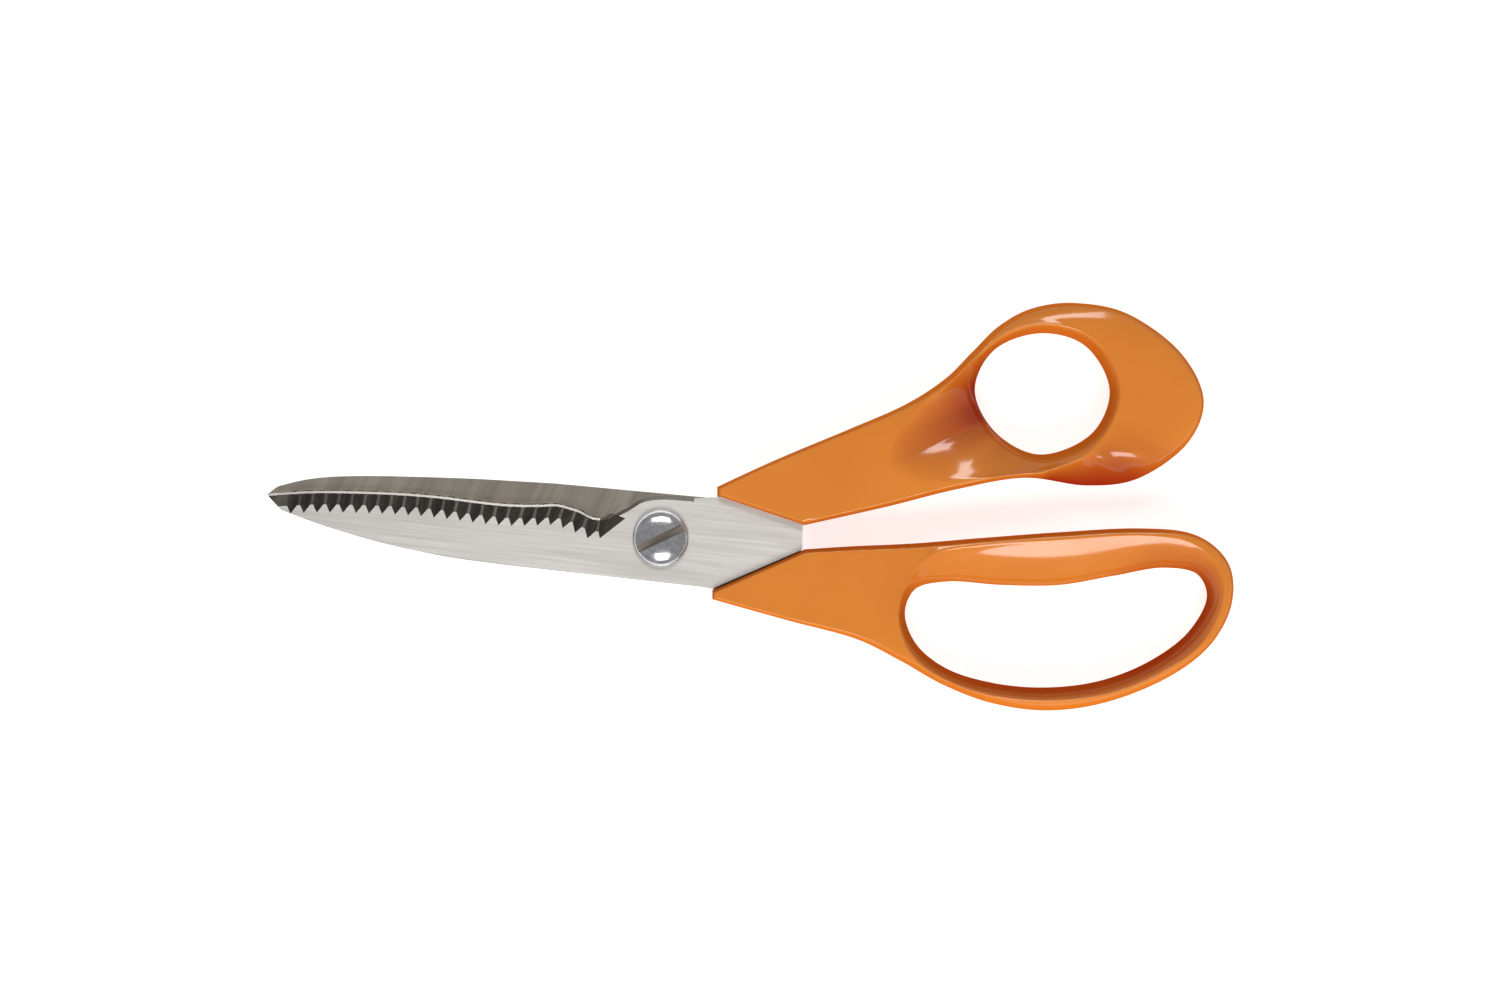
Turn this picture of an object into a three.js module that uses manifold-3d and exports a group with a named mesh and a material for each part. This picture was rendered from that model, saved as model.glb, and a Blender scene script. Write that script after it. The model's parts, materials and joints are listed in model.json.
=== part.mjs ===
// Pinking shears, closed. Millimetres, +Z up.
//
// Everything is drawn about the pivot: its axis is x = y = 0, the two blades slide on each other
// at z = 0, and the tips point towards -X. The front blade (z > 0) carries the thumb handle and
// the back blade (z < 0) the finger handle. At the end the whole is moved so that the origin is
// the bottom centre of its bounding box.

import * as THREE from 'three';
import { ParametricGeometry } from 'three/addons/geometries/ParametricGeometry.js';
import { mergeVertices } from 'three/addons/utils/BufferGeometryUtils.js';
import Module from 'manifold-3d';

// ---- driving dimensions ----

const GAP = 0.3; // clearance between neighbours
const BLADE_TILT = THREE.MathUtils.degToRad(6.4); // the blades' centre line rises towards the tips
const BLADE_THICKNESS = 3.2;
const TIP_REACH = 94.3; // pivot to tip

// the ground edge, measured square to the cutting edge
const EDGE_WALL = 1.85; // height of the upright wall at the very edge
const STRIP_WIDTH = 0.5; // polished strip along the edge
const STRIP_RISE = 0.15;
const RISER_WIDTH = 0.15; // steep step from the strip up to the bevel
const BEVEL_REACH = 3.2; // from the edge to where the bevel meets the outer face
const FLUTE_REACH = 5.2; // from the edge to where a flute's floor meets the outer face
const FLUTE_DEPTH = 0.5; // below the bevel
const RIDGE_FLAT = 0.6; // width of the bevel left between two flutes
const HEEL_CHAMFER_WIDTH = 0.8;
const HEEL_CHAMFER_HEIGHT = 1.8;

// the teeth, which lie on circles about the pivot
const TOOTH_PITCH = 3.1;
const TOOTH_HEIGHT = 1.5; // from ridge to valley on the sliding faces
const TOOTH_COUNT = 25;
const OUTER_FLUTE_RADIUS = 87.9; // the flute nearest the front blade's tip

// the pivot
const SHOULDER_RADIUS = 4;
const THREAD_RADIUS = 3;
const HEAD_RADIUS = 6.6;
const HEAD_RIM = 0.9;
const HEAD_DOME = 2.1;
const SLOT_WIDTH = 1.9;
const SLOT_DEPTH = 1.4;
const SLOT_ANGLE = THREE.MathUtils.degToRad(24.4);
const DISC_RADIUS = 7;
const DISC_THICKNESS = 0.7;
const NUT_RADIUS = 6.2;
const NUT_THICKNESS = 2.0;
const NUT_CHAMFER = 0.5;

// the handles
const REST_Z = -7.2; // the plane on which the shears lie
const SHANK_BOTTOM = -6;
const SHANK_TOP = 6.2;
const THUMB_LOOP_TOP = 8.8;
const FINGER_LOOP_TOP = 6.2;
const CRISP_ROUNDING = 1.0; // edge rounding at the blade end of a handle
const SOFT_ROUNDING = 3.8; // edge rounding around the loops
const LOOP_BLEND = [25, 70]; // x range over which the shank turns into the loop
const UNDERSIDE_BLEND = [15, 42]; // x range over which the underside comes down to the rest plane

// fineness of the curves
const ROUND_SEGMENTS = 48;
const ARC_SEGMENTS = 120; // chords in a full circle of teeth
const CHORD = 1.8; // mean chord length in a blade's outline

// how far cutters reach past what they cut: just past a face, or right out of the part
const MARGIN = 1;
const FAR = 20;

// ---- derived levels ----

const INNER_FACE = GAP / 2;
const OUTER_FACE = INNER_FACE + BLADE_THICKNESS;
const HEAD_SEAT = OUTER_FACE + GAP;
const NUT_SEAT = -OUTER_FACE - GAP;
const NUT_BOTTOM = NUT_SEAT - NUT_THICKNESS;
const BEVEL_SLOPE = FLUTE_DEPTH / (FLUTE_REACH - BEVEL_REACH);
const TEETH_OUTER_RADIUS = OUTER_FLUTE_RADIUS + TOOTH_PITCH / 4;
const TEETH_INNER_RADIUS = OUTER_FLUTE_RADIUS - (TOOTH_COUNT - 1) * TOOTH_PITCH - TOOTH_PITCH / 4;

// ---- helpers ----

const wasm = await Module();
wasm.setup();

const point = (x, y) => new THREE.Vector2(x, y);
const smoothstep = THREE.MathUtils.smoothstep;
const lerp = THREE.MathUtils.lerp;

function solid(geometry) {
  geometry.deleteAttribute('normal');
  geometry.deleteAttribute('uv');
  const merged = mergeVertices(geometry, 1e-5);
  return new wasm.Manifold(new wasm.Mesh({
    numProp: 3,
    vertProperties: new Float32Array(merged.attributes.position.array),
    triVerts: new Uint32Array(merged.index.array),
  }));
}

function geometryOf(manifold) {
  const { vertProperties, triVerts } = manifold.getMesh();
  const indexed = new THREE.BufferGeometry();
  indexed.setAttribute('position', new THREE.BufferAttribute(vertProperties, 3));
  indexed.setIndex(new THREE.BufferAttribute(triVerts, 1));
  const geometry = indexed.toNonIndexed();
  geometry.computeVertexNormals();
  return geometry;
}

// Leaves out the empty slivers that a cut can leave behind.
function mainBody(manifold) {
  return manifold.decompose().reduce((best, body) => (body.volume() > best.volume() ? body : best));
}

function prism(outline, bottom, top) {
  const geometry = new THREE.ExtrudeGeometry(new THREE.Shape(outline), {
    depth: top - bottom,
    bevelEnabled: false,
  });
  return solid(geometry.translate(0, 0, bottom));
}

function cylinder(radius, bottom, top) {
  const geometry = new THREE.CylinderGeometry(radius, radius, top - bottom, ROUND_SEGMENTS);
  return solid(geometry.rotateX(Math.PI / 2).translate(0, 0, (bottom + top) / 2));
}

// A full turn of a (radius, z) profile about the pivot axis.
function turned(profile, segments = ROUND_SEGMENTS) {
  const points = profile.map(([radius, z]) => point(radius, z));
  return solid(new THREE.LatheGeometry(points, segments).rotateX(Math.PI / 2));
}

// Moves a closed outline outwards by a distance, keeping its corners sharp.
function grown(outline, distance) {
  const outward = THREE.ShapeUtils.isClockWise(outline) ? -1 : 1;
  const count = outline.length;
  return outline.map((corner, i) => {
    const before = corner.clone().sub(outline[(i + count - 1) % count]).normalize();
    const after = outline[(i + 1) % count].clone().sub(corner).normalize();
    const bisector = point(before.y + after.y, -before.x - after.x).normalize();
    const miter = distance * outward / bisector.dot(point(after.y, -after.x));
    return corner.clone().addScaledVector(bisector, miter);
  });
}

// A section of (distance inwards, z) points carried along a flat path whose left side is outside.
function alongEdge(path, section) {
  const shape = new THREE.Shape(section.map(([inwards, z]) => point(-z, -inwards)));
  const extrudePath = new THREE.CatmullRomCurve3(path.map((p) => new THREE.Vector3(p.x, p.y, 0)));
  return solid(new THREE.ExtrudeGeometry(shape, { steps: path.length, extrudePath }));
}

// ---- blades ----
//
// A blade is drawn with its outer face up. Its outline is given in blade coordinates: "along" from
// the pivot towards the tip, and "across" from the centre line towards the cutting edge. The back
// blade is the same drawing turned half round about the centre line.

const tipwards = point(-Math.cos(BLADE_TILT), Math.sin(BLADE_TILT));
const edgewards = point(Math.sin(BLADE_TILT), Math.cos(BLADE_TILT));

function bladePoint([along, across]) {
  return point(0, 0).addScaledVector(tipwards, along).addScaledVector(edgewards, across);
}

// The mirror image of a plan point in the blades' centre line.
function mirrored(p) {
  return bladePoint([p.dot(tipwards), -p.dot(edgewards)]);
}

function splineThrough(points) {
  const curve = new THREE.SplineCurve(points);
  return curve.getSpacedPoints(Math.round(curve.getLength() / CHORD));
}

const TIP = [TIP_REACH, 0];
const BAND_END = [10.5, 5];

// tip to heel, with the shallow bump in front of the heel
const CUTTING_EDGE = splineThrough([
  TIP, [84.7, 1.7], [74.8, 2.8], [62.9, 3.7], [53.2, 4.0], [43.8, 3.85], [36.7, 3.95],
  [29.5, 4.65], [25.8, 5.25], [22.7, 4.9], [19.5, 4.25], [17.2, 3.2], [14.8, 3.05],
].map(bladePoint));

// heel to the shoulder beside the handle
const RICASSO = splineThrough([
  [14.8, 3.05], [13.3, 3.25], [11.2, 4.6], [8.3, 6.5], [6, 8.4], [4.1, 9.2], [0.4, 9.95], [-6.9, 10.3],
].map(bladePoint));

const FRONT_SPINE = splineThrough([
  [37.4, -10.45], [47.9, -10.2], [56.2, -9.6], [64.4, -8.7], [72.9, -7.35], [81.4, -5.65], [90.3, -3.4],
].map(bladePoint));

const BACK_SPINE = splineThrough([
  [26.7, -10.1], [41.8, -9.3], [50, -8.75], [58.2, -8.1], [66.2, -7.4], [72.8, -6.7], [79.3, -5.8],
  [84.5, -4.7], [88.5, -3.45], [92.1, -2.05],
].map(bladePoint));

// The shoulder between the handles and the tang inside the handle, from the ricasso to the spine.
const FRONT_TANG = [
  point(13, 9.75), point(19, 10.4), point(60, 24.5), point(64, 15.5), point(37, 4.6), point(33.7, 2.9),
  point(33.6, -2.7), point(12.35, -11.9),
];
const BACK_TANG = [
  point(12.3, -12.1), point(17, -13.6), point(50, -16.5), point(52, -7.5), point(34.5, -4.4),
  point(33.3, -3.4), point(33.3, 2.65), point(12.9, 9.45),
];

// The toothed sliding face as (radius, height) points, from the tip end inwards. Seen from its own
// outer face, the front blade starts with a ridge (phase 0) and the back blade with a valley
// (phase 1), so that ridges meet valleys.
function toothProfile(phase) {
  const profile = [[TEETH_OUTER_RADIUS, 0]];
  for (let i = 0; i < 2 * TOOTH_COUNT - 1; i += 1) {
    const isRidge = (i + phase) % 2 === 0;
    profile.push([OUTER_FLUTE_RADIUS - i * TOOTH_PITCH / 2, (isRidge ? -1 : 1) * TOOTH_HEIGHT / 2]);
  }
  return [...profile, [TEETH_INNER_RADIUS, 0]];
}

// The strip in which the closed blades overlap, a little wider on both sides. Its end at the heel
// lies inside the innermost tooth.
function toothBand() {
  const nearSide = [...CUTTING_EDGE, bladePoint(BAND_END)];
  const farSide = nearSide.map(mirrored).reverse();
  return grown([...nearSide, ...farSide.slice(0, -1)], GAP);
}

// Cuts a blade's sliding face into ridges and valleys that run round the pivot.
function withTeeth(blank, outline, phase) {
  const band = prism(toothBand(), -FAR, FAR).intersect(prism(outline, -FAR, FAR));
  const profile = toothProfile(phase).map(([radius, height]) => [radius, height + INNER_FACE]);
  const belowTeeth = [...profile, [TEETH_INNER_RADIUS, -FAR], [TEETH_OUTER_RADIUS, -FAR], profile[0]];
  const aboveTeeth = [...profile, [TEETH_INNER_RADIUS, OUTER_FACE - GAP],
    [TEETH_OUTER_RADIUS, OUTER_FACE - GAP], profile[0]].reverse();
  const cut = turned(belowTeeth, ARC_SEGMENTS).intersect(band);
  const ridges = turned(aboveTeeth, ARC_SEGMENTS).intersect(band);
  return blank.add(ridges).subtract(cut);
}

// A V-shaped cutter whose keel runs from one point to another, opening upwards.
function fluteCutter(start, end) {
  const keel = end.clone().sub(start);
  const length = keel.length();
  const forward = keel.normalize();
  const side = new THREE.Vector3(0, 0, 1).cross(forward).normalize();
  const up = forward.clone().cross(side);
  const halfWidth = FAR * (TOOTH_PITCH - RIDGE_FLAT) / 2 / FLUTE_DEPTH;
  const wedge = new THREE.Shape([point(0, 0), point(halfWidth, FAR), point(-halfWidth, FAR)]);
  const geometry = new THREE.ExtrudeGeometry(wedge, { depth: length, bevelEnabled: false });
  geometry.applyMatrix4(new THREE.Matrix4().makeBasis(side, up, forward).setPosition(start));
  return solid(geometry);
}

// The point of the ground edge at a distance from the pivot.
function edgePointAt(radius) {
  const edge = [...CUTTING_EDGE, ...RICASSO.slice(1)];
  const i = edge.findIndex((p) => p.length() <= radius);
  const share = (edge[i - 1].length() - radius) / (edge[i - 1].length() - edge[i].length());
  return edge[i - 1].clone().lerp(edge[i], share);
}

// The flute on a circle of the given radius. It starts above the polished strip and runs out
// through the outer face, square to the line from the pivot.
function fluteAt(radius) {
  const start = edgePointAt(radius);
  const away = point(start.y, -start.x).normalize();
  if (away.dot(edgewards) > 0) {
    away.negate();
  }
  const at = (distance) => new THREE.Vector3(
    start.x + away.x * distance,
    start.y + away.y * distance,
    OUTER_FACE + BEVEL_SLOPE * (distance - FLUTE_REACH),
  );
  return fluteCutter(at(-MARGIN), at(FLUTE_REACH + MARGIN));
}

// One blade with its tang, outer face up, teeth and flutes included. A flute lies over each ridge
// of the sliding face.
function bladeSolid(spine, tang, phase) {
  const wallTop = INNER_FACE + EDGE_WALL;
  const strip = (distance) => [distance, wallTop + STRIP_RISE / STRIP_WIDTH * distance];
  const bevel = (distance) => [distance, OUTER_FACE + BEVEL_SLOPE * (distance - BEVEL_REACH)];
  const chamfer = (distance) => [
    distance,
    OUTER_FACE + HEEL_CHAMFER_HEIGHT * (distance / HEEL_CHAMFER_WIDTH - 1),
  ];
  const aboveEdge = [
    strip(-MARGIN), strip(STRIP_WIDTH), bevel(STRIP_WIDTH + RISER_WIDTH), bevel(BEVEL_REACH + MARGIN),
    [-MARGIN, OUTER_FACE + MARGIN],
  ];
  const aboveHeel = [
    chamfer(-MARGIN), chamfer(HEEL_CHAMFER_WIDTH), [HEEL_CHAMFER_WIDTH, OUTER_FACE + MARGIN],
    [-MARGIN, OUTER_FACE + MARGIN],
  ];
  const outline = [...CUTTING_EDGE, ...RICASSO.slice(1), ...tang, ...spine];
  let blade = withTeeth(prism(outline, INNER_FACE, OUTER_FACE), outline, phase);
  const beyondTip = CUTTING_EDGE[0].clone().multiplyScalar(1 + MARGIN / TIP_REACH);
  blade = blade.subtract(alongEdge([beyondTip, ...CUTTING_EDGE], aboveEdge));
  blade = blade.subtract(alongEdge(RICASSO, aboveHeel));
  for (let i = 0; i < TOOTH_COUNT - phase; i += 1) {
    blade = blade.subtract(fluteAt(OUTER_FLUTE_RADIUS - (i + phase / 2) * TOOTH_PITCH));
  }
  return blade;
}

function frontBlade() {
  return bladeSolid(FRONT_SPINE, FRONT_TANG, 0)
    .subtract(cylinder(SHOULDER_RADIUS + GAP, -FAR, FAR))
    .subtract(cylinder(DISC_RADIUS + GAP, -FAR, INNER_FACE + DISC_THICKNESS + GAP));
}

function backBlade() {
  const blade = bladeSolid(BACK_SPINE, BACK_TANG.map(mirrored), 1)
    .subtract(cylinder(THREAD_RADIUS + GAP, -FAR, FAR));
  const centreLine = new THREE.Vector3(tipwards.x, tipwards.y, 0);
  const halfTurn = new THREE.Matrix4().makeRotationAxis(centreLine, Math.PI);
  return blade.transform(halfTurn.elements);
}

// ---- pivot ----

function pivotScrew() {
  const rimTop = HEAD_SEAT + HEAD_RIM;
  const domeSteps = 6;
  const dome = [];
  for (let i = 0; i <= domeSteps; i += 1) {
    const angle = (i / domeSteps) * Math.PI / 2;
    dome.push([HEAD_RADIUS * Math.sin(angle), rimTop + HEAD_DOME * Math.cos(angle)]);
  }
  const body = turned([
    ...dome,
    [HEAD_RADIUS, HEAD_SEAT],
    [SHOULDER_RADIUS, HEAD_SEAT],
    [SHOULDER_RADIUS, -INNER_FACE + GAP],
    [THREAD_RADIUS, -INNER_FACE + GAP],
    [THREAD_RADIUS, NUT_BOTTOM],
    [0, NUT_BOTTOM],
  ].reverse());
  const headTop = rimTop + HEAD_DOME;
  const slot = new THREE.BoxGeometry(FAR, SLOT_WIDTH, 2 * SLOT_DEPTH);
  slot.rotateZ(SLOT_ANGLE).translate(0, 0, headTop);
  return body.subtract(solid(slot));
}

function pivotDisc() {
  return cylinder(DISC_RADIUS, INNER_FACE, INNER_FACE + DISC_THICKNESS)
    .subtract(cylinder(SHOULDER_RADIUS + GAP, -FAR, FAR));
}

function pivotNut() {
  const bore = THREAD_RADIUS + GAP;
  return turned([
    [bore, NUT_SEAT], [bore, NUT_BOTTOM], [NUT_RADIUS - NUT_CHAMFER, NUT_BOTTOM],
    [NUT_RADIUS, NUT_BOTTOM + NUT_CHAMFER], [NUT_RADIUS, NUT_SEAT], [bore, NUT_SEAT],
  ]);
}

// ---- handles ----
//
// A handle is a ring of cross-sections. Each section runs from a point of the outer outline to the
// nearest point of the loop's hole, over the top and back along the underside.

const THUMB_FRONT = [point(33.9, 3.0), point(13.4, 9.9), point(13.4, 12.2)];
const THUMB_OUTLINE = [
  point(13.4, 12.2), point(27.3, 18.6), point(44.5, 25.8), point(58, 31.7), point(67.5, 37.8),
  point(74.1, 44.3), point(80.5, 50.5), point(88.5, 54.7), point(98.7, 55.9), point(111, 53.3),
  point(123.3, 44.3), point(129, 32.8), point(124.9, 22.1), point(113.4, 14.1), point(101.1, 12.5),
  point(86.4, 14.3), point(70, 11.5), point(53.6, 7.4), point(33.9, 3.0),
];
const THUMB_HOLE = [
  point(74.7, 35.2), point(79.2, 44.6), point(90.5, 48.7), point(101, 45.7), point(106.8, 35.2),
  point(102.6, 25), point(90.1, 19.9), point(79.6, 25.2),
];
const FINGER_FRONT = [point(12.2, -14.6), point(12.2, -12.4), point(34.2, -2.7)];
const FINGER_OUTLINE = [
  point(34.2, -2.7), point(45, -2.0), point(60, -1.3), point(76.1, 0), point(95, 1.4), point(113.7, 2.3),
  point(127.1, 0.8), point(135, -5.9), point(135.8, -15.9), point(130.5, -25.8), point(120.4, -33.4),
  point(106.2, -39.1), point(92, -41.1), point(78.6, -39.3), point(67, -34.9), point(56.9, -29.2),
  point(46, -23.9), point(30, -19.6), point(12.2, -14.6),
];
const FINGER_HOLE = [
  point(58.1, -17.8), point(60.6, -12.2), point(68, -10.4), point(81, -11.2), point(95, -11.2),
  point(108, -9), point(120, -7.1), point(127.8, -8.7), point(130.1, -13.8), point(126, -22),
  point(117, -29), point(105, -33.9), point(92, -35.6), point(79, -34.5), point(67.7, -30.9),
  point(60.7, -25.1),
];

const FRONT_STATIONS = 8; // sections along each straight side of a handle's blade end
const LOOP_STATIONS = 80;
const HOLE_POINTS = 960;
const LONGEST_REACH = 0.45; // of a section's width, the most that one rounding takes

// A handle's outer outline as a ring of points, corners kept.
function outerRing(front, outline) {
  const ring = [];
  for (let side = 0; side + 1 < front.length; side += 1) {
    for (let i = 0; i < FRONT_STATIONS; i += 1) {
      ring.push(front[side].clone().lerp(front[side + 1], i / FRONT_STATIONS));
    }
  }
  const loop = new THREE.SplineCurve(outline).getSpacedPoints(LOOP_STATIONS);
  return [...ring, ...loop.slice(0, -1)];
}

function holeRing(outline) {
  const curve = new THREE.CatmullRomCurve3(outline.map((p) => new THREE.Vector3(p.x, p.y, 0)), true);
  return curve.getSpacedPoints(HOLE_POINTS).map((p) => point(p.x, p.y));
}

function nearest(p, ring) {
  return ring.reduce((best, q) => (q.distanceToSquared(p) < best.distanceToSquared(p) ? q : best));
}

// Quarter-round: 0 on the outline, 1 from the rounding radius inwards.
function roundness(distance, radius) {
  const short = 1 - Math.min(distance / radius, 1);
  return Math.sqrt(1 - short * short);
}

function handleSolid(front, outline, hole, loopTop) {
  const outer = outerRing(front, outline);
  const inner = holeRing(hole);
  const across = [0, 0.12, 0.45, 1]; // places within the rounding at either end of a section
  const last = 2 * across.length - 1;
  const stations = outer.map((start) => {
    const end = nearest(start, inner);
    const width = start.distanceTo(end);
    const reach = Math.min(SOFT_ROUNDING / width, LONGEST_REACH);
    const places = [...across.map((t) => t * reach), ...across.map((t) => 1 - t * reach).reverse()];
    return places.map((t) => start.clone().lerp(end, t));
  });
  const heights = (p, isRim) => {
    const towardsLoop = smoothstep(p.x, ...LOOP_BLEND);
    const radius = lerp(CRISP_ROUNDING, SOFT_ROUNDING, towardsLoop);
    const top = lerp(SHANK_TOP, loopTop, towardsLoop);
    const bottom = lerp(SHANK_BOTTOM, REST_Z, smoothstep(p.x, ...UNDERSIDE_BLEND));
    const middle = (top + bottom) / 2;
    const round = isRim ? 0 : roundness(distanceToRing(p, outer), radius)
      * roundness(nearest(p, inner).distanceTo(p), SOFT_ROUNDING);
    return [middle + (top - middle) * round, middle + (bottom - middle) * round];
  };
  const rows = stations.map((places) => {
    const levels = places.map((p, i) => heights(p, i === 0 || i === last));
    const over = places.map((p, i) => new THREE.Vector3(p.x, p.y, levels[i][0]));
    const under = places.map((p, i) => new THREE.Vector3(p.x, p.y, levels[i][1]));
    return [...under, ...over.reverse().slice(1, -1)];
  });
  const surface = (u, v, target) => {
    const row = rows[Math.round(u * rows.length) % rows.length];
    target.copy(row[Math.round(v * row.length) % row.length]);
  };
  return solid(new ParametricGeometry(surface, rows.length, rows[0].length));
}

function distanceToRing(p, ring) {
  let best = Infinity;
  const closest = new THREE.Vector3();
  const target = new THREE.Vector3(p.x, p.y, 0);
  const line = new THREE.Line3();
  for (let i = 0; i < ring.length; i += 1) {
    const next = ring[(i + 1) % ring.length];
    line.start.set(ring[i].x, ring[i].y, 0);
    line.end.set(next.x, next.y, 0);
    line.closestPointToPoint(target, true, closest);
    best = Math.min(best, closest.distanceTo(target));
  }
  return best;
}

// The socket that the tang fills, with clearance all round.
function socket(tang, bottom, top) {
  return prism(grown(tang, GAP), bottom - GAP, top + GAP);
}

function thumbHandle() {
  const handle = handleSolid(THUMB_FRONT, THUMB_OUTLINE, THUMB_HOLE, THUMB_LOOP_TOP);
  return handle.subtract(socket(FRONT_TANG, INNER_FACE, OUTER_FACE));
}

function fingerHandle() {
  const handle = handleSolid(FINGER_FRONT, FINGER_OUTLINE, FINGER_HOLE, FINGER_LOOP_TOP);
  return handle.subtract(socket(BACK_TANG, -OUTER_FACE, -INNER_FACE));
}

// ---- assembly ----

const steel = (color, roughness) => new THREE.MeshStandardMaterial({ color, roughness, metalness: 1 });
const plastic = (color, roughness) => new THREE.MeshStandardMaterial({ color, roughness, metalness: 0 });

const pieces = [
  ['front_blade', frontBlade(), steel(0xccc8c3, 0.35)],
  ['back_blade', backBlade(), steel(0x8c8579, 0.4)],
  ['thumb_handle', thumbHandle(), plastic(0xd37d2b, 0.15)],
  ['finger_handle', fingerHandle(), plastic(0xd37d2b, 0.15)],
  ['pivot_screw', pivotScrew(), steel(0xc8c8cc, 0.15)],
  ['pivot_disc', pivotDisc(), plastic(0xe8e4da, 0.5)],
  ['pivot_nut', pivotNut(), steel(0xb8b6b2, 0.3)],
];

const shears = new THREE.Group();
for (const [name, body, material] of pieces) {
  const mesh = new THREE.Mesh(geometryOf(mainBody(body)), material);
  mesh.name = name;
  shears.add(mesh);
}

const bounds = new THREE.Box3().setFromObject(shears);
const centre = bounds.getCenter(new THREE.Vector3());
shears.position.set(-centre.x, -centre.y, -bounds.min.z);

export default shears;
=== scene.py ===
"""Pinking shears lying closed on a pale floor, seen from straight above.

The CAD frame gives every place. Shapes are drawn in millimetres about the pivot axis, at the height
where the two blades slide on each other, and moved into the frame at the end.
"""

import json
import math

import bmesh
import bpy
import numpy as np
from mathutils import Matrix, Vector


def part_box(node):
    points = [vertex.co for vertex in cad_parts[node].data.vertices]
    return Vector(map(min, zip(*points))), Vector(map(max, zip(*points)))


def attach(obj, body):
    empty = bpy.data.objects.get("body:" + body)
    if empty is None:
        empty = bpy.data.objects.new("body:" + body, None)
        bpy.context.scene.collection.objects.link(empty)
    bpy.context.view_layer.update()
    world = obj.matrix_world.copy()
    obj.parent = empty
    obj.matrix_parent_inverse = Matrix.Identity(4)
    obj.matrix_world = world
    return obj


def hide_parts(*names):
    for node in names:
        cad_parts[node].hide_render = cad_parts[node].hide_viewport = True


MM = 0.001
FRONT = "front_half"
BACK = "back_half"

# ---- the frame ----

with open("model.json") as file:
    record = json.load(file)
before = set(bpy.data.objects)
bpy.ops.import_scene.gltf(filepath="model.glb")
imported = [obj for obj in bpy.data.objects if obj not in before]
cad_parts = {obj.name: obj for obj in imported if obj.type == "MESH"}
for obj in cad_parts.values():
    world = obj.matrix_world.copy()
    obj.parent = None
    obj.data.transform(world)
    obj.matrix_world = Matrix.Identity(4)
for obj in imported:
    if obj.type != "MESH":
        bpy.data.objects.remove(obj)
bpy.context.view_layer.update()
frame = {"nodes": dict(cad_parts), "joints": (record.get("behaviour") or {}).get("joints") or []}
PIVOT = np.array(frame["joints"][0]["pos_m"])
TO_FRAME = Matrix.Translation(Vector(PIVOT)) @ Matrix.Scale(MM, 4)  # from mm about the pivot


def level(node, side):
    """Height in mm above the sliding plane of a CAD node's lowest (0) or highest (1) point."""
    return (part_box(node)[side].z - PIVOT[2]) / MM


# ---- node helpers ----


class Nodes:
    """Short calls for building one material's node tree."""

    def __init__(self, name):
        self.material = bpy.data.materials.new(name)
        self.material.use_nodes = True
        self.tree = self.material.node_tree
        self.shader = self.tree.nodes["Principled BSDF"]
        self.place = self.tree.nodes.new("ShaderNodeTexCoord").outputs["Object"]

    def add(self, kind, inputs=(), **settings):
        node = self.tree.nodes.new(kind)
        for key, value in settings.items():
            setattr(node, key, value)
        for socket, value in dict(inputs).items():
            if isinstance(value, bpy.types.NodeSocket):
                self.tree.links.new(value, node.inputs[socket])
            else:
                node.inputs[socket].default_value = value
        return node

    def stretched(self, turn, scale):
        """Object coordinates turned about Z by an angle, then scaled per axis."""
        turned = self.add("ShaderNodeMapping", {"Vector": self.place, "Rotation": (0, 0, -turn)})
        return self.add("ShaderNodeMapping", {"Vector": turned.outputs[0], "Scale": scale}).outputs[0]

    def noise(self, vector, scale, detail=3.0, roughness=0.55):
        made = self.add("ShaderNodeTexNoise", {
            "Vector": vector, "Scale": scale, "Detail": detail, "Roughness": roughness})
        return made.outputs["Fac"]

    def ramp(self, value, stops):
        made = self.add("ShaderNodeValToRGB", {"Fac": value})
        elements = made.color_ramp.elements
        elements[0].position, elements[0].color = stops[0]
        elements[1].position, elements[1].color = stops[-1]
        for position, tint in stops[1:-1]:
            elements.new(position).color = tint
        return made.outputs["Color"]

    def spread(self, value, low, high):
        made = self.add("ShaderNodeMapRange", {"Value": value, "To Min": low, "To Max": high})
        return made.outputs["Result"]

    def math(self, operation, *values):
        return self.add("ShaderNodeMath", enumerate(values), operation=operation).outputs[0]

    def mixed(self, share, a, b):
        made = self.add("ShaderNodeMix", {0: share, 6: a, 7: b}, data_type="RGBA")
        return made.outputs[2]

    def bumped(self, height, strength, distance):
        made = self.add("ShaderNodeBump", {
            "Height": height, "Strength": strength, "Distance": distance})
        return made.outputs["Normal"]

    def finish(self, **inputs):
        for name, value in inputs.items():
            socket = self.shader.inputs[name.replace("_", " ")]
            if isinstance(value, bpy.types.NodeSocket):
                self.tree.links.new(value, socket)
            else:
                socket.default_value = value
        return self.material


def colour(red, green, blue):
    """A linear colour from 0-255 screen values."""
    def linear(value):
        share = value / 255
        return share / 12.92 if share <= 0.04045 else ((share + 0.055) / 1.055) ** 2.4
    return (linear(red), linear(green), linear(blue), 1.0)


# ---- materials ----

BLACK = (0, 0, 0, 1)
STEEP_SHADE_MOST = (0.4, 0.4, 0.4, 1)
WHITE = (1, 1, 1, 1)

BLADE_TURN = math.radians(-6.4)  # the blades' length, measured from +X
CROSS_TURN = math.radians(64)  # the grinding marks across the back blade's sliding face
SLOT_TURN = math.radians(24.4)  # the screw's slot
MARKS = (40, 2600, 2600)  # how fine the grinding marks are along and across their length
MARK_PATCHES = (25, 260, 260)  # broader bands of lighter and darker marks


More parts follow.
